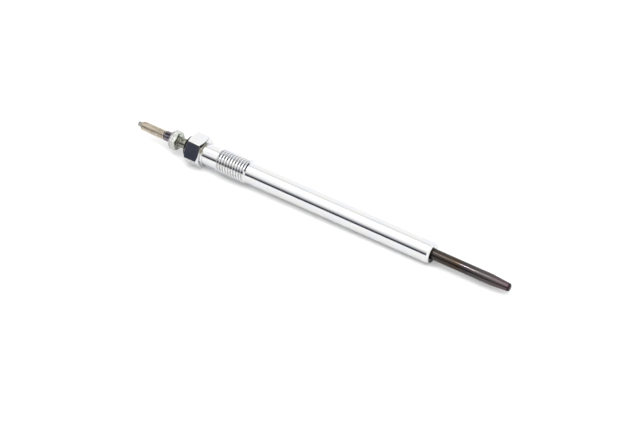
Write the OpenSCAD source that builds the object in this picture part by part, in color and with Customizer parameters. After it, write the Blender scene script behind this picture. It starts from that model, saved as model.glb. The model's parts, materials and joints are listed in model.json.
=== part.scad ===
// Diesel glow plug: a plated steel shell with a hex head and a screw thread, a slim heater
// tube at one end and a threaded terminal at the other. It lies on its side, with one flat of
// the hex head and the rim of the shank on the ground. +X points to the heater tip, +Z up.

/* [Hex head] */
// Width of the hex head across flats
hex_width = 12; // [11:0.5:14]
// Length of the hex head along the plug
hex_length = 6.8; // [6:0.1:12]
// Diameter of the round face that the chamfer leaves at each end of the hex head
hex_face_diameter = 11.4; // [10.8:0.1:12]
// Slope of the hex chamfers, measured from the end face
hex_chamfer_angle = 30; // [15:1:45]

/* [Shank and thread] */
// Length of the smooth neck between hex head and thread
neck_length = 7; // [3:0.5:12]
// Radius of the fillet between hex head and neck
neck_fillet = 0.6; // [0.2:0.1:0.8]
// Outside diameter of the screw thread
thread_diameter = 10; // [9.5:0.1:11]
// Pitch of the screw thread, which sets how deep its ends are chamfered
thread_pitch = 1.25; // [0.75:0.05:1.5]
// Length of the screw thread
thread_length = 14; // [8:0.2:20]
// Diameter of the smooth shank and of the neck
shank_diameter = 8.6; // [8:0.1:9.2]
// Length of the shank from the thread to its end face
shank_length = 82.2; // [50:0.2:110]
// Full angle of the conical seat at the end of the shank
seat_angle = 63; // [55:1:120]
// Diameter of the end face inside the conical seat
seat_face_diameter = 7.5; // [7:0.1:7.8]
// Width of the flat ring between the seat and the countersink round the heater tube
mouth_land = 0.1; // [0.05:0.05:0.4]
// Depth of that shallow countersink
mouth_depth = 0.35; // [0.1:0.05:0.8]
// Diameter of the long bore that the centre rod runs through
bore_diameter = 5.2; // [4.8:0.1:5.8]

/* [Heater tube] */
// Outside diameter of the heater tube
heater_diameter = 4.4; // [4:0.1:5]
// Length of the heater tube that stands out of the shank
heater_length = 32.9; // [28:0.1:45]
// Length of the heater tube that is pressed into the shank
heater_insert = 16; // [10:0.5:25]
// Wall thickness of the heater tube
heater_wall = 0.6; // [0.4:0.05:0.7]
// Length of the swaged taper at the tip
tip_length = 8; // [5:0.5:11]
// Diameter of the tapered tip at its end
tip_diameter = 3.1; // [2.8:0.1:3.6]
// Radius that rounds the end of the tip
tip_rounding = 0.9; // [0.3:0.1:1.2]
// Thickness of the closed end of the tube
tip_floor = 1.4; // [1:0.1:2]

/* [Coils] */
// Diameter of the coil wire
wire_diameter = 0.4; // [0.3:0.05:0.45]
// Thickness of magnesia between the coils and the tube
coil_cover = 0.35; // [0.25:0.05:0.4]
// Turns of the heating coil at the tip
heating_turns = 9; // [6:1:12]
// Distance between the turns of the heating coil
heating_pitch = 0.9; // [0.7:0.05:1.1]
// Turns of the control coil behind the heating coil
control_turns = 10; // [6:1:14]
// Distance between the turns of the control coil
control_pitch = 1.1; // [0.8:0.05:1.3]
// Turns of the control coil that are welded round the nose of the centre rod
welded_turns = 2; // [1:1:3]
// Room between the nose of the centre rod and the coil's inside
nose_clearance = 0.04; // [0.03:0.01:0.08]

/* [Centre rod and seals] */
// Diameter of the centre rod inside the shank
rod_diameter = 3.2; // [2.8:0.1:3.6]
// Wall thickness of the rubber seal in the mouth of the heater tube
seal_wall = 0.5; // [0.4:0.05:0.6]
// Length of that rubber seal
seal_length = 4; // [2:0.5:8]
// Diameter of the pocket in the hex head for bush and sealing ring
pocket_diameter = 6.8; // [6.2:0.1:7.6]
// Depth of that pocket
pocket_depth = 5; // [4.5:0.5:8]
// How much the sealing ring is squeezed on each side
ring_squeeze = 0.1; // [0.05:0.01:0.15]

/* [Insulating bush] */
// Diameter of the flange that shows on the hex head
flange_diameter = 8.8; // [8:0.1:10]
// Thickness of that flange
flange_thickness = 1.4; // [0.4:0.1:2]

/* [Terminal] */
// Diameter of the collar on both sides of its small hex
collar_diameter = 4.2; // [4:0.1:4.8]
// Length of the collar between the bush and the small hex
collar_foot_length = 4.7; // [2:0.1:6]
// Length of the collar between the small hex and the stud
collar_neck_length = 3.6; // [2:0.2:5]
// Width of the small hex across flats
small_hex_width = 7; // [6:0.1:8]
// Length of the small hex along the plug
small_hex_length = 3.2; // [2.4:0.1:4]
// Turn of the small hex about the axis, against the flats of the head
small_hex_turn = 38; // [0:1:59]
// Diameter of the pins of rod and stud inside the collar
pin_diameter = 2.6; // [2.2:0.1:2.8]
// Outside diameter of the stud's thread
stud_diameter = 4; // [3.8:0.1:4.2]
// Pitch of the stud's thread, which sets how deep its ends are chamfered
stud_pitch = 0.7; // [0.5:0.05:0.8]
// Length of the stud's thread
stud_length = 11.2; // [8:0.2:16]
// Diameter of the plain dog point at the end of the stud
dog_diameter = 2.5; // [2:0.1:2.9]
// Length of the dog point
dog_length = 1.9; // [1:0.1:3]
// Chamfer on the small edges of collar, hex and dog point
small_chamfer = 0.3; // [0.1:0.05:0.4]

/* [Hidden] */

$fn = 96;
// Depth of a metric thread as a share of its pitch
thread_depth_share = 0.6134;
// Faces round the coil wire, steps in one turn of a coil, and steps round fillet and tip
wire_sides = 6;
coil_steps = 14;
rounding_steps = 8;

// Places along the axis, from the tip-side face of the hex head. They grow towards the tip.
neck_end = neck_length;
thread_end = neck_end + thread_length;
shank_end = thread_end + shank_length;
seat_length = (shank_diameter - seat_face_diameter) / 2 / tan(seat_angle / 2);
seat_rim = shank_end - seat_length;
tube_mouth = shank_end - heater_insert;
tip_end = shank_end + heater_length;
taper_start = tip_end - tip_length;
cavity_floor = tip_end - tip_floor;
seal_end = tube_mouth + seal_length;
head_face = -hex_length;
pocket_floor = head_face + pocket_depth;
flange_face = head_face - flange_thickness;
small_hex_foot = flange_face - collar_foot_length;
small_hex_top = small_hex_foot - small_hex_length;
collar_end = small_hex_top - collar_neck_length;
pin_meeting = (small_hex_foot + small_hex_top) / 2;
stud_end = collar_end - stud_length;
dog_end = stud_end - dog_length;

// Depths of the two threads and of the hex chamfers
thread_depth = thread_depth_share * thread_pitch;
stud_depth = thread_depth_share * stud_pitch;
hex_chamfer_slope = tan(hex_chamfer_angle);
flat_setback = max(0, (hex_width - hex_face_diameter) / 2 * hex_chamfer_slope);

// Heater tube and what lies inside it
wire_radius = wire_diameter / 2;
tube_radius = heater_diameter / 2;
cavity_radius = tube_radius - heater_wall;
taper_slope = (heater_diameter - tip_diameter) / 2 / tip_length;
heating_end = cavity_floor - wire_radius;
coil_joint = heating_end - heating_turns * heating_pitch;
control_start = coil_joint - control_turns * control_pitch;
rod_shoulder = control_start - wire_radius;
nose_end = control_start + welded_turns * control_pitch;
rod_end_radius = cavity_radius - seal_wall;

// Shallow countersink round the heater tube in the end of the shank
mouth_radius = seat_face_diameter / 2 - mouth_land;
mouth_floor = shank_end - mouth_depth;

// Sealing ring, squeezed between the rod and the wall of its pocket
ring_gap = (pocket_diameter - rod_diameter) / 2;
ring_cord = ring_gap + 2 * ring_squeeze;
ring_centre = pocket_floor - ring_cord / 2;
bush_foot = pocket_floor - ring_cord;

// Resting pose: a flat of the head and the rim of the seat both touch the ground
rest_tilt = atan((hex_width - shank_diameter) / 2 / (seat_rim + flat_setback));
axis_height = hex_width / 2 * cos(rest_tilt) - flat_setback * sin(rest_tilt);
tip_flat_radius = tip_diameter / 2 - tip_rounding;
high_x = (tip_end - tip_rounding) * cos(rest_tilt) + tip_flat_radius * sin(rest_tilt) + tip_rounding;
low_x = dog_end * cos(rest_tilt) - (dog_diameter / 2 - small_chamfer) * sin(rest_tilt);
centre_x = (high_x + low_x) / 2;

// Radius of the tube's cavity at a place along the axis
function cavity_radius_at(place) = cavity_radius - taper_slope * max(0, place - taper_start);

// Radius of the middle of the coil wire at a place along the axis
function coil_radius_at(place) = cavity_radius_at(place) - coil_cover - wire_radius;

// Corners of one section through the coil wire
function wire_ring(angle, place) = [
    for (side = [0 : wire_sides - 1])
        let (turn = 360 * side / wire_sides)
        let (reach = coil_radius_at(place) + wire_radius * cos(turn))
        [reach * cos(angle), reach * sin(angle), place + wire_radius * sin(turn)]
];

// Lays the upright plug down in its resting pose
module at_rest() {
    translate([-centre_x, 0, axis_height])
        rotate([0, 90 + rest_tilt, 0])
            children();
}

// Solid of revolution from an outline of [radius, place along the axis] points
module turned(outline) {
    rotate_extrude() polygon(outline);
}

// Plain round piece between two places along the axis
module round_bar(diameter, from, to) {
    translate([0, 0, from]) cylinder(d = diameter, h = to - from);
}

// Round piece with a chamfer at each end
module chamfered_bar(diameter, from, to, from_chamfer, to_chamfer) {
    radius = diameter / 2;
    turned([
        [0, from], [radius - from_chamfer, from], [radius, from + from_chamfer],
        [radius, to - to_chamfer], [radius - to_chamfer, to], [0, to]
    ]);
}

// Hex bar whose corners are turned down at both ends
module hex_bar(width, face_diameter, from, to, turn) {
    corner = width / cos(30);
    rise = (corner - face_diameter) / 2 * hex_chamfer_slope;
    intersection() {
        translate([0, 0, from])
            rotate([0, 0, turn + 30])
                cylinder(d = corner, h = to - from, $fn = 6);
        turned([
            [0, from], [face_diameter / 2, from], [corner / 2, from + rise],
            [corner / 2, to - rise], [face_diameter / 2, to], [0, to]
        ]);
    }
}

// Wire wound on the tapering coil radius, from one place along the axis
module coil(start, pitch, turns) {
    steps = turns * coil_steps;
    rings = [
        for (step = [0 : steps])
            wire_ring(360 * step / coil_steps, start + pitch * step / coil_steps)
    ];
    sides = [
        for (step = [0 : steps - 1], side = [0 : wire_sides - 1])
            let (next = (side + 1) % wire_sides)
            let (here = step * wire_sides)
            let (ahead = here + wire_sides)
            each [
                [here + side, here + next, ahead + next],
                [here + side, ahead + next, ahead + side]
            ]
    ];
    first_end = [for (side = [wire_sides - 1 : -1 : 0]) side];
    last_end = [for (side = [0 : wire_sides - 1]) steps * wire_sides + side];
    polyhedron([for (ring = rings) each ring], concat(sides, [first_end, last_end]));
}

// Inside of the heater tube from one place along the axis to its closed end
module cavity(from) {
    turned([
        [0, from], [cavity_radius, from], [cavity_radius, taper_start],
        [cavity_radius_at(cavity_floor), cavity_floor], [0, cavity_floor]
    ]);
}

// Plated steel shell: hex head, neck, thread, shank and conical seat in one turned piece
module shell() {
    neck_radius = shank_diameter / 2;
    fillet = [
        for (step = [0 : rounding_steps])
            let (angle = 90 * step / rounding_steps)
            [
                neck_radius + neck_fillet * (1 - sin(angle)),
                neck_fillet * (1 - cos(angle))
            ]
    ];
    color([0.86, 0.87, 0.88])
    at_rest()
    difference() {
        union() {
            hex_bar(hex_width, hex_face_diameter, head_face, 0, 0);
            turned(concat([[0, 0]], fillet, [[0, neck_fillet]]));
            chamfered_bar(thread_diameter, neck_end, thread_end, thread_depth, thread_depth);
            turned([
                [0, -hex_length / 2], [neck_radius, -hex_length / 2], [neck_radius, seat_rim],
                [seat_face_diameter / 2, shank_end], [0, shank_end]
            ]);
        }
        round_bar(pocket_diameter, head_face, pocket_floor);
        round_bar(bore_diameter, head_face, tube_mouth);
        round_bar(heater_diameter, head_face, shank_end);
        turned([
            [0, mouth_floor], [tube_radius, mouth_floor],
            [mouth_radius, shank_end], [0, shank_end]
        ]);
    }
}

// Heater tube, swaged to a taper and closed at the tip
module heater_tube() {
    tip_radius = tip_diameter / 2;
    rounding_start = tip_end - tip_rounding;
    shoulder_radius = tip_radius + taper_slope * tip_rounding;
    edge = [
        for (step = [1 : rounding_steps])
            let (angle = 90 * step / rounding_steps)
            [tip_flat_radius + tip_rounding * cos(angle), rounding_start + tip_rounding * sin(angle)]
    ];
    color([0.33, 0.29, 0.28])
    at_rest()
    difference() {
        turned(concat(
            [[0, tube_mouth], [tube_radius, tube_mouth], [tube_radius, taper_start]],
            [[shoulder_radius, rounding_start]], edge, [[0, tip_end]]
        ));
        cavity(tube_mouth);
    }
}

// Heating coil at the tip, its last turn against the closed end of the tube
module heating_coil() {
    color([0.55, 0.54, 0.53])
    at_rest()
    coil(coil_joint, heating_pitch, heating_turns);
}

// Control coil between the centre rod and the heating coil
module control_coil() {
    color([0.62, 0.6, 0.56])
    at_rest()
    coil(control_start, control_pitch, control_turns);
}

// Pressed magnesia powder that holds the coils and fills the tube up to the seal
module magnesia_fill() {
    color([0.93, 0.92, 0.88])
    at_rest()
    difference() {
        cavity(seal_end);
        round_bar(2 * rod_end_radius, seal_end, rod_shoulder);
        round_bar(2 * coil_radius_at(control_start), rod_shoulder, nose_end);
        coil(control_start, control_pitch, control_turns);
        coil(coil_joint, heating_pitch, heating_turns);
    }
}

// Rubber seal that closes the mouth of the heater tube round the rod
module tube_seal() {
    color([0.12, 0.12, 0.13])
    at_rest()
    difference() {
        round_bar(2 * cavity_radius, tube_mouth, seal_end);
        round_bar(2 * rod_end_radius, tube_mouth, seal_end);
    }
}

// Centre rod, from its pin in the terminal collar to its nose in the control coil
module centre_rod() {
    nose_radius = coil_radius_at(control_start) - wire_radius - nose_clearance;
    color([0.7, 0.7, 0.71])
    at_rest()
    turned([
        [0, pin_meeting], [pin_diameter / 2, pin_meeting], [pin_diameter / 2, flange_face],
        [rod_diameter / 2, flange_face], [rod_diameter / 2, tube_mouth],
        [rod_end_radius, tube_mouth], [rod_end_radius, rod_shoulder],
        [nose_radius, rod_shoulder], [nose_radius, nose_end], [0, nose_end]
    ]);
}

// Rubber sealing ring, squeezed flat where it meets the rod and the pocket
module sealing_ring() {
    color([0.1, 0.1, 0.11])
    at_rest()
    rotate_extrude()
    intersection() {
        translate([(rod_diameter + ring_gap) / 2, ring_centre]) circle(d = ring_cord);
        translate([rod_diameter / 2, bush_foot]) square([ring_gap, ring_cord]);
    }
}

// Insulating bush: a sleeve in the pocket and a flange on the head
module insulating_bush() {
    color([0.07, 0.07, 0.08])
    at_rest()
    difference() {
        union() {
            round_bar(pocket_diameter, head_face, bush_foot);
            round_bar(flange_diameter, flange_face, head_face);
        }
        round_bar(rod_diameter, flange_face, bush_foot);
    }
}

// Terminal collar with a small hex, which joins the centre rod to the stud
module terminal_collar() {
    color([0.6, 0.6, 0.61])
    at_rest()
    difference() {
        union() {
            chamfered_bar(collar_diameter, collar_end, flange_face, small_chamfer, 0);
            hex_bar(small_hex_width, small_hex_width, small_hex_top, small_hex_foot, small_hex_turn);
        }
        round_bar(pin_diameter, collar_end, flange_face);
    }
}

// Terminal stud: a pin inside the collar, the thread for the cable and a dog point
module terminal_stud() {
    color([0.72, 0.63, 0.42])
    at_rest()
    union() {
        round_bar(pin_diameter, collar_end, pin_meeting);
        chamfered_bar(stud_diameter, stud_end, collar_end, stud_depth, stud_depth);
        chamfered_bar(dog_diameter, dog_end, stud_end, small_chamfer, 0);
    }
}

shell();
heater_tube();
heating_coil();
control_coil();
magnesia_fill();
tube_seal();
centre_rod();
sealing_ring();
insulating_bush();
terminal_collar();
terminal_stud();
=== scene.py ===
"""Looks of a diesel glow plug that lies on a pale studio floor.

The five pieces that show are modelled again as turned skins with rounded edges and real
screw threads. The pieces inside keep their solids and get materials of their own.
"""
import json
import math

import bmesh
import bpy
from mathutils import Matrix, Vector


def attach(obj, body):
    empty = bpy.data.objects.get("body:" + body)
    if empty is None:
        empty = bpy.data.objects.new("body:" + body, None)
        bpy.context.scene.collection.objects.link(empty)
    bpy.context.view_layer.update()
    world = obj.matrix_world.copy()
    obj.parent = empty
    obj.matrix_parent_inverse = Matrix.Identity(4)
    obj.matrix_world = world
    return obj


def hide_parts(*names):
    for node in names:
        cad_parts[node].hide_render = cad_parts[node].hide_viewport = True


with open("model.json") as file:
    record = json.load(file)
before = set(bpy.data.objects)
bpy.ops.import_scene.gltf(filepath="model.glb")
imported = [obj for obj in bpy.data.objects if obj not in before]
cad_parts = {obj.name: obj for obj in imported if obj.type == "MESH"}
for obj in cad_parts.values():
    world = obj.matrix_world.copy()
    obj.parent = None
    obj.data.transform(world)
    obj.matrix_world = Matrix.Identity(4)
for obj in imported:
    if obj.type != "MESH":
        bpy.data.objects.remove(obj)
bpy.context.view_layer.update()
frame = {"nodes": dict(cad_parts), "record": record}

# Sizes are in millimetres and angles in degrees; the scene is in metres
MM = 0.001
FULL_TURN = 2 * math.pi

# Angle from one flat of a hex to the next, and the flats' distance as a share of the corners'
FLAT_TURN = 60.0
FLAT_SHARE = math.cos(math.radians(FLAT_TURN / 2))

# Hex head and shank
HEX_FACE_DIAMETER = 11.4
HEX_CHAMFER_ANGLE = 30.0
HEAD_FACET_ANGLE = 90.0
NECK_LENGTH = 7.0
NECK_FILLET = 0.6
THREAD_PITCH = 1.25
THREAD_LENGTH = 14.0
SHANK_DIAMETER = 8.6
SEAT_ANGLE = 63.0
SEAT_FACE_DIAMETER = 7.5
MOUTH_LAND = 0.1
MOUTH_DEPTH = 0.35
BORE_DIAMETER = 5.2
POCKET_DIAMETER = 6.8
POCKET_DEPTH = 5.0

# Heater tube
HEATER_WALL = 0.6
TIP_LENGTH = 8.0
TIP_DIAMETER = 3.1
TIP_ROUNDING = 0.9
TIP_FLOOR = 1.4
TIP_INSET = 0.005

# Terminal and bush
ROD_DIAMETER = 3.2
COLLAR_DIAMETER = 4.2
COLLAR_NECK_LENGTH = 3.6
SMALL_HEX_LENGTH = 3.2
SMALL_HEX_FACE_INSET = 0.1
SMALL_HEX_FACET_ANGLE = 52.0
PIN_DIAMETER = 2.6
STUD_PITCH = 0.7
STUD_LENGTH = 11.2
DOG_DIAMETER = 2.5
SMALL_CHAMFER = 0.3

# Rounds on the edges, and the largest share of a side that a round may take
EDGE_ROUND = 0.12
FINE_ROUND = 0.06
HEX_CORNER_ROUND = 0.2
SWAGE_ROUND = 20.0
ROUND_SHARE = 0.49

# Steps in the meshes
ARC_STEPS = 4
TIP_ARC_STEPS = 10
FLAT_STEPS = 9
CORNER_STEPS = 3
ROUND_COLUMNS = 96
STUD_COLUMNS = 72
SHARP_EDGE_ANGLE = 35.0
MERGE_DISTANCE = 1e-6

# Form of a metric screw thread, as shares of its pitch
CREST_SHARE = 1 / 8
DEPTH_SHARE = 0.6134
FLANK_ANGLE = 30.0
CREST_ROUND_SHARE = 0.05
ROOT_ROUND_SHARE = 0.07

# Share of a flank, from each of its ends, where an extra point keeps its shading flat
FLANK_HOLD = 0.16


# Axis of the plug, with places along it counted from the tip-side face of the hex head
mounts = {mount["name"]: mount for mount in frame["record"]["mounts"]}
AXIS = Vector(mounts["engine_thread"]["axis"]).normalized()
SIDE = Vector((0, -1, 0))
UP = SIDE.cross(AXIS)
THREAD_MIDDLE = Vector(mounts["engine_thread"]["pos_m"])
SHOULDER = THREAD_MIDDLE - AXIS * (NECK_LENGTH + THREAD_LENGTH / 2) * MM


def span(node):
    """First and last place of a CAD node along the axis, in millimetres."""
    vertices = frame["nodes"][node].data.vertices
    places = [(vertex.co - SHOULDER).dot(AXIS) / MM for vertex in vertices]
    return min(places), max(places)


def reach(node):
    """Largest distance of a CAD node from the axis, in millimetres."""
    vertices = frame["nodes"][node].data.vertices
    return max((vertex.co - SHOULDER).cross(AXIS).length / MM for vertex in vertices)


HEAD_FACE, SHANK_END = span("shell")
TUBE_MOUTH, TUBE_END = span("heater_tube")
TIP_END = TUBE_END - TIP_INSET
FLANGE_FACE, BUSH_FOOT = span("insulating_bush")
COLLAR_END = span("terminal_collar")[0]
DOG_END, PIN_END = span("terminal_stud")
NECK_END = NECK_LENGTH
THREAD_END = NECK_END + THREAD_LENGTH
POCKET_FLOOR = HEAD_FACE + POCKET_DEPTH
TAPER_START = TIP_END - TIP_LENGTH
CAVITY_FLOOR = TIP_END - TIP_FLOOR
SMALL_HEX_TOP = COLLAR_END + COLLAR_NECK_LENGTH
SMALL_HEX_FOOT = SMALL_HEX_TOP + SMALL_HEX_LENGTH
STUD_END = COLLAR_END - STUD_LENGTH

HEX_FLAT_RADIUS = reach("shell") * FLAT_SHARE
SMALL_HEX_FLAT_RADIUS = reach("terminal_collar") * FLAT_SHARE
HEX_FACE_RADIUS = HEX_FACE_DIAMETER / 2
HEATER_RADIUS = reach("heater_tube")
FLANGE_RADIUS = reach("insulating_bush")
THREAD_RADIUS = mounts["engine_thread"]["dims"]["r_mm"]
STUD_RADIUS = mounts["cable_stud"]["dims"]["r_mm"]
SHANK_RADIUS = SHANK_DIAMETER / 2
SEAT_FACE_RADIUS = SEAT_FACE_DIAMETER / 2
SEAT_RIM = SHANK_END - (SHANK_RADIUS - SEAT_FACE_RADIUS) / math.tan(math.radians(SEAT_ANGLE / 2))
MOUTH_RADIUS = SEAT_FACE_RADIUS - MOUTH_LAND
MOUTH_FLOOR = SHANK_END - MOUTH_DEPTH


def point_at(place, radius, angle):
    """Point in the scene at a place along the axis; the angle starts level and rises to the top."""
    across = SIDE * math.cos(angle) + UP * math.sin(angle)
    return SHOULDER + (AXIS * place + across * radius) * MM


def arc(before, corner, after, fillet, steps):
    """Points of the round that replaces a corner, as a rational curve that is a true arc."""
    back = before - corner
    ahead = after - corner
    half = back.angle(ahead) / 2
    trim = min(fillet / math.tan(half), ROUND_SHARE * back.length, ROUND_SHARE * ahead.length)
    first = corner + back.normalized() * trim
    last = corner + ahead.normalized() * trim
    points = []
    for step in range(steps + 1):
        share = step / steps
        weights = ((1 - share) ** 2, 2 * share * (1 - share) * math.sin(half), share ** 2)
        middle = first * weights[0] + corner * weights[1] + last * weights[2]
        points.append(middle / sum(weights))
    return points


def rounded(corners, steps=ARC_STEPS):
    """Outline of (place, radius) points from corners (place, radius, fillet)."""
    spots = [Vector(corner[:2]) for corner in corners]
    outline = []
    for index, corner in enumerate(corners):
        if corner[2] > 0:
            outline += arc(spots[index - 1], spots[index], spots[index + 1], corner[2], steps)
        else:
            outline.append(spots[index])
    return outline


def hex_radius(angle, facet_angle, flat_radius):
    """Distance from the axis to a hex with rounded corners, at an angle round the axis."""
    sixth = math.radians(FLAT_TURN)
    off_flat = abs((angle - math.radians(facet_angle) + sixth / 2) % sixth - sixth / 2)
    corner_centre = (flat_radius - HEX_CORNER_ROUND) / FLAT_SHARE
    off_corner = sixth / 2 - off_flat
    beside_corner = corner_centre * math.sin(off_corner)
    # A corner's round meets the flat half its radius away from the corner's middle line
    if beside_corner > HEX_CORNER_ROUND / 2:
        return flat_radius / math.cos(off_flat)
    round_height = math.sqrt(HEX_CORNER_ROUND ** 2 - beside_corner ** 2)
    return corner_centre * math.cos(off_corner) + round_height


def hex_angles(facet_angle, flat_radius):
    """Angles of the mesh columns round a hex piece, with close columns at its corners."""
    corner = math.radians(FLAT_TURN / 2)
    flat_end = math.atan((flat_radius - HEX_CORNER_ROUND) * math.tan(corner) / flat_radius)
    flat = [flat_end * step / FLAT_STEPS for step in range(-FLAT_STEPS, FLAT_STEPS + 1)]
    rise = (corner - flat_end) / CORNER_STEPS
    bend = [flat_end + rise * step for step in range(1, CORNER_STEPS + 1)]
    offsets = [-offset for offset in reversed(bend[:-1])] + flat + bend
    return [
        math.radians(facet_angle + FLAT_TURN * facet) + offset
        for facet in range(6)
        for offset in offsets
    ]


def round_angles(count):
    """Angles of the mesh columns round a plain turned piece."""
    return [FULL_TURN * column / count for column in range(count)]


def thread_profile(pitch, radius):
    """One pitch of a thread as (share of the pitch, radius) points, from root to root."""
    depth = DEPTH_SHARE * pitch
    crest = CREST_SHARE * pitch / 2
    flank = crest + depth * math.tan(math.radians(FLANK_ANGLE))
    root_radius = radius - depth
    holds = [
        (flank + (crest - flank) * share, root_radius + depth * share, 0)
        for share in (FLANK_HOLD, 1 - FLANK_HOLD)
    ]
    corners = [
        (-pitch / 2, root_radius, 0),
        (-flank, root_radius, ROOT_ROUND_SHARE * pitch),
        *[(-place, height, fillet) for place, height, fillet in holds],
        (-crest, radius, CREST_ROUND_SHARE * pitch),
        (crest, radius, CREST_ROUND_SHARE * pitch),
        *reversed(holds),
        (flank, root_radius, ROOT_ROUND_SHARE * pitch),
        (pitch / 2, root_radius, 0),
    ]
    return [(point.x / pitch + 0.5, point.y) for point in rounded(corners)[:-1]]


def thread_rows(turn_share, profile, pitch, first, last, base_radius):
    """A right-hand thread along one line on its surface, cut off at its ends by a short lead."""
    rows = []
    turns = math.ceil((last - first) / pitch) + 2
    for turn in range(turns):
        for offset, radius in profile:
            place = min(max(first + pitch * (turn + offset - turn_share), first), last)
            lead_radius = base_radius + min(place - first, last - place)
            rows.append(Vector((place, min(radius, lead_radius))))
    return rows


def clean_piece(name, bm):
    """Object from a mesh in the making, without doubled or loose points and with even shading."""
    bmesh.ops.remove_doubles(bm, verts=bm.verts, dist=MERGE_DISTANCE)
    bmesh.ops.dissolve_degenerate(bm, edges=bm.edges, dist=MERGE_DISTANCE)
    loose = [vertex for vertex in bm.verts if not vertex.link_faces]
    bmesh.ops.delete(bm, geom=loose, context="VERTS")
    bmesh.ops.recalc_face_normals(bm, faces=bm.faces)
    for face in bm.faces:
        face.smooth = True
    mesh = bpy.data.meshes.new(name)
    bm.to_mesh(mesh)
    bm.free()
    mesh.set_sharp_from_angle(angle=math.radians(SHARP_EDGE_ANGLE))
    piece = bpy.data.objects.new(name, mesh)
    bpy.context.scene.collection.objects.link(piece)
    normals = piece.modifiers.new("even_normals", "WEIGHTED_NORMAL")
    normals.keep_sharp = True
    return piece


def skin(name, angles, sections_at, closed, rows_per_turn=0):
    """Mesh piece from one outline per angle; a thread in the second section joins turn to turn."""
    bm = bmesh.new()
    columns = []
    for angle in angles:
        sections = sections_at(angle)
        points = [point for section in sections for point in section]
        columns.append([bm.verts.new(point_at(point.x, point.y, angle)) for point in points])
    thread_first = len(sections[0])
    thread_last = thread_first + (len(sections[1]) if rows_per_turn else 0)
    row_count = len(points)

    def across_seam(row):
        """Row of the first column that meets a row of the last, one turn back in a thread."""
        if thread_first <= row < thread_last:
            return max(row - rows_per_turn, thread_first)
        return row

    for index, column in enumerate(columns):
        at_seam = index + 1 == len(columns)
        neighbour = columns[0 if at_seam else index + 1]
        for row in range(row_count if closed else row_count - 1):
            ahead = (row + 1) % row_count
            here_match = across_seam(row) if at_seam else row
            ahead_match = across_seam(ahead) if at_seam else ahead
            corners = [column[row], column[ahead], neighbour[ahead_match], neighbour[here_match]]
            if here_match == ahead_match:
                corners.pop()
            bm.faces.new(corners)
    return clean_piece(name, bm)


def hex_corners(first, last, face_radius, corner_radius):
    """Corners of a hex bar along one line, with its ends turned down to a round face."""
    rise = (corner_radius - face_radius) * math.tan(math.radians(HEX_CHAMFER_ANGLE))
    return [
        (first, face_radius, EDGE_ROUND),
        (first + rise, corner_radius, EDGE_ROUND),
        (last - rise, corner_radius, EDGE_ROUND),
        (last, face_radius, EDGE_ROUND),
    ]


def shell_skin():
    """Plated shell: hex head, neck, screw thread, shank and conical seat, with its bores."""
    angles = hex_angles(HEAD_FACET_ANGLE, HEX_FLAT_RADIUS)
    profile = thread_profile(THREAD_PITCH, THREAD_RADIUS)
    bore_radius = BORE_DIAMETER / 2
    pocket_radius = POCKET_DIAMETER / 2
    shank = rounded([
        (THREAD_END, SHANK_RADIUS, 0),
        (SEAT_RIM, SHANK_RADIUS, EDGE_ROUND),
        (SHANK_END, SEAT_FACE_RADIUS, FINE_ROUND),
        (SHANK_END, MOUTH_RADIUS, FINE_ROUND),
        (MOUTH_FLOOR, HEATER_RADIUS, 0),
        (TUBE_MOUTH, HEATER_RADIUS, 0),
        (TUBE_MOUTH, bore_radius, 0),
    ])

    def sections_at(angle):
        corner_radius = hex_radius(angle, HEAD_FACET_ANGLE, HEX_FLAT_RADIUS)
        head = rounded([
            (POCKET_FLOOR, bore_radius, 0),
            (POCKET_FLOOR, pocket_radius, 0),
            (HEAD_FACE, pocket_radius, 0),
            *hex_corners(HEAD_FACE, 0, HEX_FACE_RADIUS, corner_radius),
            (0, SHANK_RADIUS, NECK_FILLET),
            (NECK_END, SHANK_RADIUS, 0),
        ])
        turn = (angle - angles[0]) / FULL_TURN
        thread = thread_rows(turn, profile, THREAD_PITCH, NECK_END, THREAD_END, SHANK_RADIUS)
        return head, thread, shank

    return skin("shell_skin", angles, sections_at, closed=True, rows_per_turn=len(profile))


def heater_skin():
    """Heater tube, swaged to a taper and closed by a rounded tip."""
    inner_radius = HEATER_RADIUS - HEATER_WALL
    slope = (HEATER_RADIUS - TIP_DIAMETER / 2) / TIP_LENGTH
    floor_radius = inner_radius - slope * (CAVITY_FLOOR - TAPER_START)
    outline = rounded([
        (TIP_END, 0, 0),
        (TIP_END, TIP_DIAMETER / 2, TIP_ROUNDING),
        (TAPER_START, HEATER_RADIUS, SWAGE_ROUND),
        (TUBE_MOUTH, HEATER_RADIUS, 0),
        (TUBE_MOUTH, inner_radius, 0),
        (TAPER_START, inner_radius, 0),
        (CAVITY_FLOOR, floor_radius, 0),
        (CAVITY_FLOOR, 0, 0),
    ], TIP_ARC_STEPS)
    return skin("heater_skin", round_angles(ROUND_COLUMNS), lambda angle: (outline,), closed=False)


def bush_skin():
    """Insulating bush with the flange that shows on the hex head."""
    outline = rounded([
        (FLANGE_FACE, ROD_DIAMETER / 2, 0),
        (FLANGE_FACE, FLANGE_RADIUS, EDGE_ROUND),
        (HEAD_FACE, FLANGE_RADIUS, FINE_ROUND),
        (HEAD_FACE, POCKET_DIAMETER / 2, 0),
        (BUSH_FOOT, POCKET_DIAMETER / 2, 0),
        (BUSH_FOOT, ROD_DIAMETER / 2, 0),
    ])
    return skin("bush_skin", round_angles(ROUND_COLUMNS), lambda angle: (outline,), closed=True)


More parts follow.
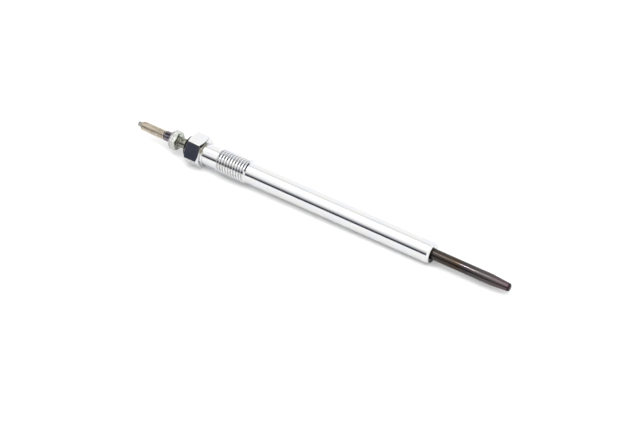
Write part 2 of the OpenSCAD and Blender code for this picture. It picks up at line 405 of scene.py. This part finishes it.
def collar_skin():
    """Terminal collar, round on both sides of its small hex."""
    angles = hex_angles(SMALL_HEX_FACET_ANGLE, SMALL_HEX_FLAT_RADIUS)
    pin_radius = PIN_DIAMETER / 2
    collar_radius = COLLAR_DIAMETER / 2
    face_radius = SMALL_HEX_FLAT_RADIUS - SMALL_HEX_FACE_INSET

    def sections_at(angle):
        corner_radius = hex_radius(angle, SMALL_HEX_FACET_ANGLE, SMALL_HEX_FLAT_RADIUS)
        return [rounded([
            (FLANGE_FACE, pin_radius, 0),
            (COLLAR_END, pin_radius, 0),
            (COLLAR_END, collar_radius - SMALL_CHAMFER, FINE_ROUND),
            (COLLAR_END + SMALL_CHAMFER, collar_radius, FINE_ROUND),
            (SMALL_HEX_TOP, collar_radius, EDGE_ROUND),
            *hex_corners(SMALL_HEX_TOP, SMALL_HEX_FOOT, face_radius, corner_radius),
            (SMALL_HEX_FOOT, collar_radius, EDGE_ROUND),
            (FLANGE_FACE, collar_radius, 0),
        ])]

    return skin("collar_skin", angles, sections_at, closed=True)


def stud_skin():
    """Terminal stud with its fine thread, dog point and the pin inside the collar."""
    angles = round_angles(STUD_COLUMNS)
    profile = thread_profile(STUD_PITCH, STUD_RADIUS)
    root_radius = STUD_RADIUS - DEPTH_SHARE * STUD_PITCH
    dog_radius = DOG_DIAMETER / 2
    dog = rounded([
        (DOG_END, 0, 0),
        (DOG_END, dog_radius - SMALL_CHAMFER, FINE_ROUND),
        (DOG_END + SMALL_CHAMFER, dog_radius, FINE_ROUND),
        (STUD_END, dog_radius, FINE_ROUND),
        (STUD_END, root_radius, 0),
    ])
    pin = rounded([
        (COLLAR_END, root_radius, 0),
        (COLLAR_END, PIN_DIAMETER / 2, 0),
        (PIN_END, PIN_DIAMETER / 2, 0),
        (PIN_END, 0, 0),
    ])

    def sections_at(angle):
        turn = angle / FULL_TURN
        thread = thread_rows(turn, profile, STUD_PITCH, STUD_END, COLLAR_END, root_radius)
        return dog, thread, pin

    return skin("stud_skin", angles, sections_at, closed=False, rows_per_turn=len(profile))


def add(tree, kind, inputs=None, **options):
    """Adds a node, sets its options, and sets its inputs or links those that are sockets."""
    node = tree.nodes.new(kind)
    for option, value in options.items():
        setattr(node, option, value)
    for key, value in (inputs or {}).items():
        if isinstance(value, bpy.types.NodeSocket):
            tree.links.new(value, node.inputs[key])
        else:
            node.inputs[key].default_value = value
    return node


def plug_position(tree):
    """Position in the plug's own frame in millimetres: x along the axis, y and z across it."""
    position = add(tree, "ShaderNodeTexCoord").outputs["Object"]
    level = Matrix.Rotation(-math.atan2(-AXIS.z, AXIS.x), 3, "Y")
    mapping = add(tree, "ShaderNodeMapping", {
        "Vector": position,
        "Location": -(level @ SHOULDER) / MM,
        "Rotation": level.to_euler(),
        "Scale": (1 / MM, 1 / MM, 1 / MM),
    })
    return mapping.outputs["Vector"]


def axis_place(tree, position):
    """Place along the axis, in millimetres."""
    return add(tree, "ShaderNodeSeparateXYZ", {"Vector": position}).outputs["X"]


def axis_distance(tree, position):
    """Distance from the axis, in millimetres."""
    parts = add(tree, "ShaderNodeSeparateXYZ", {"Vector": position}).outputs
    across = add(tree, "ShaderNodeCombineXYZ", {"Y": parts["Y"], "Z": parts["Z"]}).outputs[0]
    return add(tree, "ShaderNodeVectorMath", {0: across}, operation="LENGTH").outputs["Value"]


def reach_towards(tree, position, way):
    """How far a position lies in one direction."""
    node = add(tree, "ShaderNodeVectorMath", {0: position, 1: way}, operation="DOT_PRODUCT")
    return node.outputs["Value"]


def noise(tree, position, per_mm, detail):
    """Noise with its own number of spots per millimetre along x, y and z."""
    stretched = add(tree, "ShaderNodeVectorMath", {0: position, 1: per_mm}, operation="MULTIPLY")
    texture = add(tree, "ShaderNodeTexNoise", {
        "Vector": stretched.outputs[0], "Scale": 1.0, "Detail": detail,
    })
    return texture.outputs["Fac"]


def spread(tree, value, low, high, start=0.3, stop=0.7):
    """Maps a value from the range start to stop, by default that of noise, onto low to high."""
    mapped = add(tree, "ShaderNodeMapRange", {
        "Value": value, "From Min": start, "From Max": stop, "To Min": low, "To Max": high,
    })
    return mapped.outputs["Result"]


def rising(tree, value, edges):
    """0 before the first edge and 1 past the second."""
    return spread(tree, value, 0.0, 1.0, *edges)


def falling(tree, value, edges):
    """1 before the first edge and 0 past the second."""
    return spread(tree, value, 1.0, 0.0, *edges)


def combine(tree, operation, first, second):
    """Arithmetic on two values."""
    return add(tree, "ShaderNodeMath", {0: first, 1: second}, operation=operation).outputs[0]


def product(tree, first, *others):
    """Product of two or more values."""
    for other in others:
        first = combine(tree, "MULTIPLY", first, other)
    return first


def ramp(tree, value, stops):
    """Colour ramp over a value, from (place on the ramp, colour) stops."""
    node = add(tree, "ShaderNodeValToRGB", {"Fac": value})
    elements = node.color_ramp.elements
    while len(elements) < len(stops):
        elements.new(1.0)
    for element, (place, colour) in zip(elements, stops):
        element.position = place
        element.color = (*colour, 1.0)
    return node.outputs["Color"]


def blend(tree, share, first, second):
    """Mix of two colours, each a socket or a constant."""
    colours = [
        value if isinstance(value, bpy.types.NodeSocket) else (*value, 1.0)
        for value in (first, second)
    ]
    mix = add(tree, "ShaderNodeMix", {0: share, 6: colours[0], 7: colours[1]}, data_type="RGBA")
    return mix.outputs[2]


def bump(tree, height, depth_mm, below=None):
    """Bump of a depth in millimetres, laid over another bump where there is one."""
    inputs = {"Height": height, "Strength": 1.0, "Distance": depth_mm * MM}
    if below is not None:
        inputs["Normal"] = below
    return add(tree, "ShaderNodeBump", inputs).outputs["Normal"]


def new_material(name, metallic):
    """Empty principled material, and the tree and shader to finish it with."""
    material = bpy.data.materials.new(name)
    material.use_nodes = True
    shader = material.node_tree.nodes["Principled BSDF"]
    shader.inputs["Metallic"].default_value = metallic
    return material, material.node_tree, shader


def finish_shader(tree, shader, colour, roughness, normal):
    """Links what a material has worked out to its shader."""
    tree.links.new(colour, shader.inputs["Base Color"])
    tree.links.new(roughness, shader.inputs["Roughness"])
    tree.links.new(normal, shader.inputs["Normal"])


# Direction across the plug that points down to the front
LOW_SIDE = Vector((0, -0.72, -0.69))

# Painted shade in the mouth round the heater tube, which fades away from the low side
MOUTH_SHADE_COLOUR = (0.05, 0.044, 0.048)
MOUTH_FADE = 0.05
MOUTH_START = (MOUTH_FLOOR - MOUTH_FADE, MOUTH_FLOOR)
MOUTH_RIM = (MOUTH_RADIUS - FINE_ROUND, MOUTH_RADIUS + FINE_ROUND)
MOUTH_SIDE = (-HEATER_RADIUS, HEATER_RADIUS / 2)

# Painted dark olive reflection on the hex head's tip-side end: its edges on the chamfer, on the
# neck's fillet, and at two distances towards the low side
HEX_END_REFLECTION_COLOUR = (0.31, 0.30, 0.25)
HEX_END_REFLECTION_CHAMFER_EDGE = (-0.12, -0.04)
HEX_END_REFLECTION_NECK_EDGE = (0.25, NECK_FILLET)
HEX_END_REFLECTION_FAR_EDGE = (-4.4, -3.2)
HEX_END_REFLECTION_NEAR_EDGE = (0.6, 1.6)


def mouth_shade_share(tree, place, distance, low):
    """Share of painted shade, 1 in the mouth on the low side."""
    past_floor = rising(tree, place, MOUTH_START)
    within_rim = falling(tree, distance, MOUTH_RIM)
    return product(tree, past_floor, within_rim, rising(tree, low, MOUTH_SIDE))


def hex_end_reflection_share(tree, place, distance, low):
    """Share of painted dark reflection, 1 on the hex head's end away from the low side."""
    past_face = combine(tree, "SUBTRACT", distance, HEX_FACE_RADIUS)
    on_chamfer = combine(tree, "MAXIMUM", past_face, 0.0)
    drop = combine(tree, "MULTIPLY", on_chamfer, math.tan(math.radians(HEX_CHAMFER_ANGLE)))
    from_chamfer = combine(tree, "ADD", place, drop)
    on_end = product(
        tree, rising(tree, from_chamfer, HEX_END_REFLECTION_CHAMFER_EDGE), falling(tree, place, HEX_END_REFLECTION_NECK_EDGE))
    on_side = product(tree, rising(tree, low, HEX_END_REFLECTION_FAR_EDGE), falling(tree, low, HEX_END_REFLECTION_NEAR_EDGE))
    return product(tree, on_end, on_side)


def plated_steel():
    """Bright plating with cloudy gloss and fine rings, a painted dark reflection on the hex end and
    painted shade in the mouth.
    """
    material, tree, shader = new_material("plated_steel", 1.0)
    position = plug_position(tree)
    place = axis_place(tree, position)
    distance = axis_distance(tree, position)
    low = reach_towards(tree, position, LOW_SIDE)
    clouds = noise(tree, position, (0.12, 0.3, 0.3), 4.0)
    rings = noise(tree, position, (9.0, 0.12, 0.12), 2.0)
    colour = ramp(tree, clouds, [
        (0.3, (0.60, 0.615, 0.64)),
        (0.5, (0.63, 0.63, 0.64)),
        (0.7, (0.64, 0.63, 0.61)),
    ])
    # painted shade in the mouth round the heater tube, darkest on the low side
    colour = blend(tree, mouth_shade_share(tree, place, distance, low), colour, MOUTH_SHADE_COLOUR)
    # painted dark olive reflection on the hex head's end, away from the low side
    colour = blend(tree, hex_end_reflection_share(tree, place, distance, low), colour, HEX_END_REFLECTION_COLOUR)
    gloss = spread(tree, clouds, 0.06, 0.11)
    roughness = combine(tree, "ADD", gloss, spread(tree, rings, 0.0, 0.03))
    finish_shader(tree, shader, colour, roughness, bump(tree, rings, 0.0006))
    return material


# Heater tube, by the share of its length outside the shank: a burnished stretch and a darker end
BURNISHED_START = (0.31, 0.37)
BURNISHED_STOP = (0.52, 0.58)
BURNISHED_ROUGHNESS = 0.09
HEATER_ROUGHNESS = 0.24
DARK_END_START = (0.965, 0.985)
DARK_END_COLOUR = (0.03, 0.021, 0.025)


def heater_alloy():
    """Dark heat-tinted alloy, bronze near the shank and rosy near the tip, burnished between."""
    material, tree, shader = new_material("heater_alloy", 1.0)
    position = plug_position(tree)
    stains = noise(tree, position, (0.25, 0.35, 0.35), 4.0)
    grain = noise(tree, position, (4.0, 9.0, 9.0), 4.0)
    rings = noise(tree, position, (12.0, 0.3, 0.3), 2.0)
    share = rising(tree, axis_place(tree, position), (SHANK_END, TIP_END))
    tint = combine(tree, "ADD", share, spread(tree, stains, -0.06, 0.06))
    colour = ramp(tree, tint, [
        (0.0, (0.047, 0.041, 0.037)),
        (0.2, (0.049, 0.039, 0.033)),
        (0.33, (0.050, 0.036, 0.027)),
        (0.42, (0.048, 0.041, 0.046)),
        (0.6, (0.066, 0.059, 0.058)),
        (0.8, (0.080, 0.066, 0.068)),
        (1.0, (0.090, 0.065, 0.073)),
    ])
    # darker colour over the very end of the tip
    colour = blend(tree, rising(tree, share, DARK_END_START), colour, DARK_END_COLOUR)
    burnished = product(
        tree, rising(tree, tint, BURNISHED_START), falling(tree, tint, BURNISHED_STOP))
    polish = spread(tree, burnished, HEATER_ROUGHNESS, BURNISHED_ROUGHNESS, 0.0, 1.0)
    roughness = combine(tree, "ADD", polish, spread(tree, grain, 0.0, 0.03))
    normal = bump(tree, grain, 0.0015, bump(tree, rings, 0.001))
    finish_shader(tree, shader, colour, roughness, normal)
    return material


# Weak gloss of the bush's plastic
BUSH_SPECULAR = 0.12


def bush_plastic():
    """Black moulded plastic with a fine satin grain."""
    material, tree, shader = new_material("bush_plastic", 0.0)
    position = plug_position(tree)
    grain = noise(tree, position, (9.0, 9.0, 9.0), 3.0)
    clouds = noise(tree, position, (0.8, 0.8, 0.8), 2.0)
    colour = ramp(tree, clouds, [(0.3, (0.004, 0.004, 0.005)), (0.7, (0.008, 0.008, 0.009))])
    shader.inputs["Specular IOR Level"].default_value = BUSH_SPECULAR
    finish_shader(tree, shader, colour, spread(tree, grain, 0.5, 0.65), bump(tree, grain, 0.003))
    return material


def collar_steel():
    """Turned and plated steel, darker beside the small hex and lighter on it by a painted
    highlight, a little uneven.
    """
    material, tree, shader = new_material("collar_steel", 1.0)
    position = plug_position(tree)
    clouds = noise(tree, position, (0.5, 0.5, 0.5), 3.0)
    rings = noise(tree, position, (10.0, 0.2, 0.2), 2.0)
    waves = noise(tree, position, (0.7, 0.7, 0.7), 1.0)
    share = rising(tree, axis_place(tree, position), (COLLAR_END, FLANGE_FACE))
    tint = combine(tree, "ADD", share, spread(tree, clouds, -0.06, 0.06))
    # darker steel beside the small hex; the bright stretch over the small hex is a painted
    # highlight
    colour = ramp(tree, tint, [
        (0.0, (0.17, 0.155, 0.17)),
        (0.27, (0.13, 0.115, 0.135)),
        (0.36, (0.42, 0.41, 0.42)),
        (0.54, (0.44, 0.46, 0.42)),
        (0.64, (0.17, 0.17, 0.14)),
        (1.0, (0.22, 0.215, 0.18)),
    ])
    normal = bump(tree, rings, 0.0012, bump(tree, waves, 0.15))
    finish_shader(tree, shader, colour, spread(tree, rings, 0.08, 0.16), normal)
    return material


# Worn metal of the stud's dog point
DOG_COLOUR = (0.46, 0.455, 0.445)
DOG_EDGE = (STUD_END - STUD_PITCH / 2, STUD_END + STUD_PITCH / 2)


def stud_brass():
    """Pale brass with a rolled thread, worn to a plain grey on the dog point."""
    material, tree, shader = new_material("stud_brass", 1.0)
    position = plug_position(tree)
    clouds = noise(tree, position, (0.6, 0.9, 0.9), 4.0)
    grain = noise(tree, position, (6.0, 12.0, 12.0), 3.0)
    colour = ramp(tree, clouds, [
        (0.3, (0.45, 0.405, 0.345)),
        (0.5, (0.54, 0.49, 0.42)),
        (0.72, (0.62, 0.575, 0.51)),
    ])
    on_dog = falling(tree, axis_place(tree, position), DOG_EDGE)
    colour = blend(tree, on_dog, colour, DOG_COLOUR)
    finish_shader(tree, shader, colour, spread(tree, grain, 0.12, 0.2), bump(tree, grain, 0.0008))
    return material


def coil_wire():
    """Drawn heating wire with fine lengthwise marks and a slight heat tint."""
    material, tree, shader = new_material("coil_wire", 1.0)
    position = plug_position(tree)
    tint = noise(tree, position, (0.6, 0.6, 0.6), 3.0)
    marks = noise(tree, position, (20.0, 6.0, 6.0), 2.0)
    colour = ramp(tree, tint, [(0.35, (0.33, 0.31, 0.29)), (0.65, (0.30, 0.29, 0.31))])
    finish_shader(tree, shader, colour, spread(tree, marks, 0.3, 0.45), bump(tree, marks, 0.001))
    return material


def magnesia():
    """Pressed white powder with a fine grain."""
    material, tree, shader = new_material("magnesia", 0.0)
    position = plug_position(tree)
    grain = noise(tree, position, (14.0, 14.0, 14.0), 5.0)
    colour = ramp(tree, grain, [(0.3, (0.74, 0.72, 0.66)), (0.7, (0.84, 0.83, 0.79))])
    finish_shader(tree, shader, colour, spread(tree, grain, 0.85, 0.95), bump(tree, grain, 0.01))
    return material


def seal_rubber():
    """Moulded black rubber with a dusty bloom."""
    material, tree, shader = new_material("seal_rubber", 0.0)
    position = plug_position(tree)
    bloom = noise(tree, position, (1.5, 1.5, 1.5), 4.0)
    grain = noise(tree, position, (12.0, 12.0, 12.0), 3.0)
    colour = ramp(tree, bloom, [(0.35, (0.010, 0.010, 0.011)), (0.7, (0.022, 0.021, 0.021))])
    finish_shader(tree, shader, colour, spread(tree, bloom, 0.6, 0.8), bump(tree, grain, 0.004))
    return material


def rod_steel():
    """Drawn steel rod with marks along its length."""
    material, tree, shader = new_material("rod_steel", 1.0)
    position = plug_position(tree)
    marks = noise(tree, position, (0.1, 12.0, 12.0), 3.0)
    clouds = noise(tree, position, (0.2, 0.5, 0.5), 3.0)
    colour = ramp(tree, clouds, [(0.3, (0.42, 0.42, 0.43)), (0.7, (0.50, 0.49, 0.48))])
    finish_shader(tree, shader, colour, spread(tree, marks, 0.25, 0.38), bump(tree, marks, 0.001))
    return material


MATERIALS = {
    "plated_steel": plated_steel(),
    "heater_alloy": heater_alloy(),
    "bush_plastic": bush_plastic(),
    "collar_steel": collar_steel(),
    "stud_brass": stud_brass(),
    "coil_wire": coil_wire(),
    "magnesia": magnesia(),
    "seal_rubber": seal_rubber(),
    "rod_steel": rod_steel(),
}

# Pieces that stand for a solid, and the solids inside that keep their own meshes
SKINS = [
    (shell_skin, "shell", "plated_steel"),
    (heater_skin, "heater_tube", "heater_alloy"),
    (bush_skin, "insulating_bush", "bush_plastic"),
    (collar_skin, "terminal_collar", "collar_steel"),
    (stud_skin, "terminal_stud", "stud_brass"),
]
INNER_NODES = {
    "heating_coil": "coil_wire",
    "control_coil": "coil_wire",
    "magnesia_fill": "magnesia",
    "tube_seal": "seal_rubber",
    "centre_rod": "rod_steel",
    "sealing_ring": "seal_rubber",
}
for make_skin, node_name, slot_name in SKINS:
    piece = make_skin()
    piece.data.materials.append(MATERIALS[slot_name])
    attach(piece, "root")
    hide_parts(node_name)
for node_name, slot_name in INNER_NODES.items():
    inner_mesh = frame["nodes"][node_name].data
    inner_mesh.materials.clear()
    inner_mesh.materials.append(MATERIALS[slot_name])


# Studio: a pale floor in a white room, whose tone steps between two heights in degrees
FLOOR_SIZE = 8.0
FLOOR_DROP = 0.01 * MM
FLOOR_TONES = ((0.86, 0.86, 0.86), (0.88, 0.88, 0.88))
FLOOR_SPECULAR = 0.2
ROOM_LOW = (1.44, 1.44, 1.44)
ROOM_HIGH = (1.22, 1.22, 1.2)
ROOM_STEP = (46.0, 55.0)

# Overhead softbox, its edges as sideways metres for each metre of height
SOFTBOX_COLOUR = (3.2, 3.2, 3.2)
SOFTBOX_X = (-0.47, 0.8)
SOFTBOX_Y = (-0.68, 0.12)

# Dark flag beside the softbox, which the gaps of the thread mirror as dark lines
FLAG_COLOUR = (0.08, 0.08, 0.08)
FLAG_X = (-1.2, -0.55)
FLAG_Y = (-0.38, 0.36)

# Width of the soft edges of softbox and flag
SOFT_EDGE = 0.04

# Dark strips low in the room, one before the plug and one past its tip, their angles in degrees
STRIP_COLOUR = (0.06, 0.067, 0.09)
STRIP_UPPER_EDGE = (13.5, 37.0)
FRONT_STRIP_AZIMUTH = -25.0
FRONT_STRIP_EDGE = (35.0, 50.0)
TIP_STRIP_AZIMUTH = 115.0
TIP_STRIP_EDGE = (30.0, 45.0)

# Small lamp over a place on the axis, which draws a thin bright line on the heater tube
LAMP_TARGET = 114.5
LAMP_DIRECTION = Vector((-0.334, -0.26, 1.0))
LAMP_DISTANCE = 0.6
LAMP_SIZE = 0.01
LAMP_POWER = 0.22

# Camera, fitted to the photograph
CAMERA_AZIMUTH = 32.85
CAMERA_ELEVATION = 41.8
CAMERA_DISTANCE = 0.80487
CAMERA_AIM = Vector((0.76, 0.89, -0.62)) * MM
LENS = 117.8
SENSOR_WIDTH = 36.0


def direction(azimuth, elevation):
    """Direction from the plug at an azimuth counted from the -Y side, in degrees."""
    turn = math.radians(azimuth)
    rise = math.radians(elevation)
    level = math.cos(rise)
    return Vector((math.sin(turn) * level, -math.cos(turn) * level, math.sin(rise)))


def make_floor():
    """Large matt floor that the plug lies on."""
    bpy.ops.mesh.primitive_plane_add(size=FLOOR_SIZE, location=(0, 0, -FLOOR_DROP))
    floor = bpy.context.object
    floor.name = "floor"
    material, tree, shader = new_material("floor_matt", 0.0)
    position = plug_position(tree)
    clouds = noise(tree, position, (0.02, 0.02, 0.02), 2.0)
    grain = noise(tree, position, (3.0, 3.0, 3.0), 3.0)
    colour = ramp(tree, clouds, [(0.3, FLOOR_TONES[0]), (0.7, FLOOR_TONES[1])])
    shader.inputs["Specular IOR Level"].default_value = FLOOR_SPECULAR
    finish_shader(tree, shader, colour, spread(tree, grain, 0.85, 0.95), bump(tree, grain, 0.002))
    floor.data.materials.append(material)


def between(tree, value, edges):
    """1 between two edges and 0 outside them, with a soft step at each."""
    rise = rising(tree, value, (edges[0] - SOFT_EDGE, edges[0]))
    fall = falling(tree, value, (edges[1], edges[1] + SOFT_EDGE))
    return product(tree, rise, fall)


def panel(tree, parts, x_edges, y_edges):
    """1 on a level panel overhead, whose edges are sideways metres for each metre of height."""
    slants = [combine(tree, "DIVIDE", parts[axis], parts["Z"]) for axis in ("X", "Y")]
    return product(tree, between(tree, slants[0], x_edges), between(tree, slants[1], y_edges))


def beside(tree, toward, azimuth, edges):
    """1 on one side of the room and 0 away from it, with a soft step at two angles."""
    facing = reach_towards(tree, toward, direction(azimuth, 0.0))
    return falling(tree, facing, [math.cos(math.radians(angle)) for angle in edges])


def make_sky():
    """White room round the plug, with the dark strips, the overhead softbox and its flag."""
    world = bpy.data.worlds.new("studio")
    world.use_nodes = True
    tree = world.node_tree
    toward = add(tree, "ShaderNodeTexCoord").outputs["Generated"]
    parts = add(tree, "ShaderNodeSeparateXYZ", {"Vector": toward}).outputs
    step = [math.sin(math.radians(angle)) for angle in ROOM_STEP]
    room = blend(tree, rising(tree, parts["Z"], step), ROOM_LOW, ROOM_HIGH)

    front = beside(tree, toward, FRONT_STRIP_AZIMUTH, FRONT_STRIP_EDGE)
    past_tip = beside(tree, toward, TIP_STRIP_AZIMUTH, TIP_STRIP_EDGE)
    upper = [math.sin(math.radians(angle)) for angle in STRIP_UPPER_EDGE]
    below_edge = falling(tree, parts["Z"], upper)
    strips = product(tree, below_edge, combine(tree, "MAXIMUM", front, past_tip))
    room = blend(tree, strips, room, STRIP_COLOUR)

    room = blend(tree, panel(tree, parts, SOFTBOX_X, SOFTBOX_Y), room, SOFTBOX_COLOUR)
    room = blend(tree, panel(tree, parts, FLAG_X, FLAG_Y), room, FLAG_COLOUR)
    tree.links.new(room, tree.nodes["Background"].inputs["Color"])
    bpy.context.scene.world = world


def make_lamp():
    """Small square lamp above the heater tube."""
    data = bpy.data.lights.new("lamp", "AREA")
    data.energy = LAMP_POWER
    data.size = LAMP_SIZE
    lamp = bpy.data.objects.new("lamp", data)
    lamp.location = point_at(LAMP_TARGET, 0, 0) + LAMP_DIRECTION.normalized() * LAMP_DISTANCE
    lamp.rotation_euler = LAMP_DIRECTION.to_track_quat("Z", "Y").to_euler()
    bpy.context.scene.collection.objects.link(lamp)


def make_camera():
    """Camera at the angle of the photograph, level with its horizon."""
    data = bpy.data.cameras.new("camera")
    data.lens = LENS
    data.sensor_width = SENSOR_WIDTH
    camera = bpy.data.objects.new("camera", data)
    back = direction(CAMERA_AZIMUTH, CAMERA_ELEVATION)
    camera.location = CAMERA_AIM + back * CAMERA_DISTANCE
    camera.rotation_euler = back.to_track_quat("Z", "Y").to_euler()
    bpy.context.scene.collection.objects.link(camera)
    bpy.context.scene.camera = camera


make_floor()
make_sky()
make_lamp()
make_camera()
bpy.context.scene.view_settings.view_transform = "Standard"
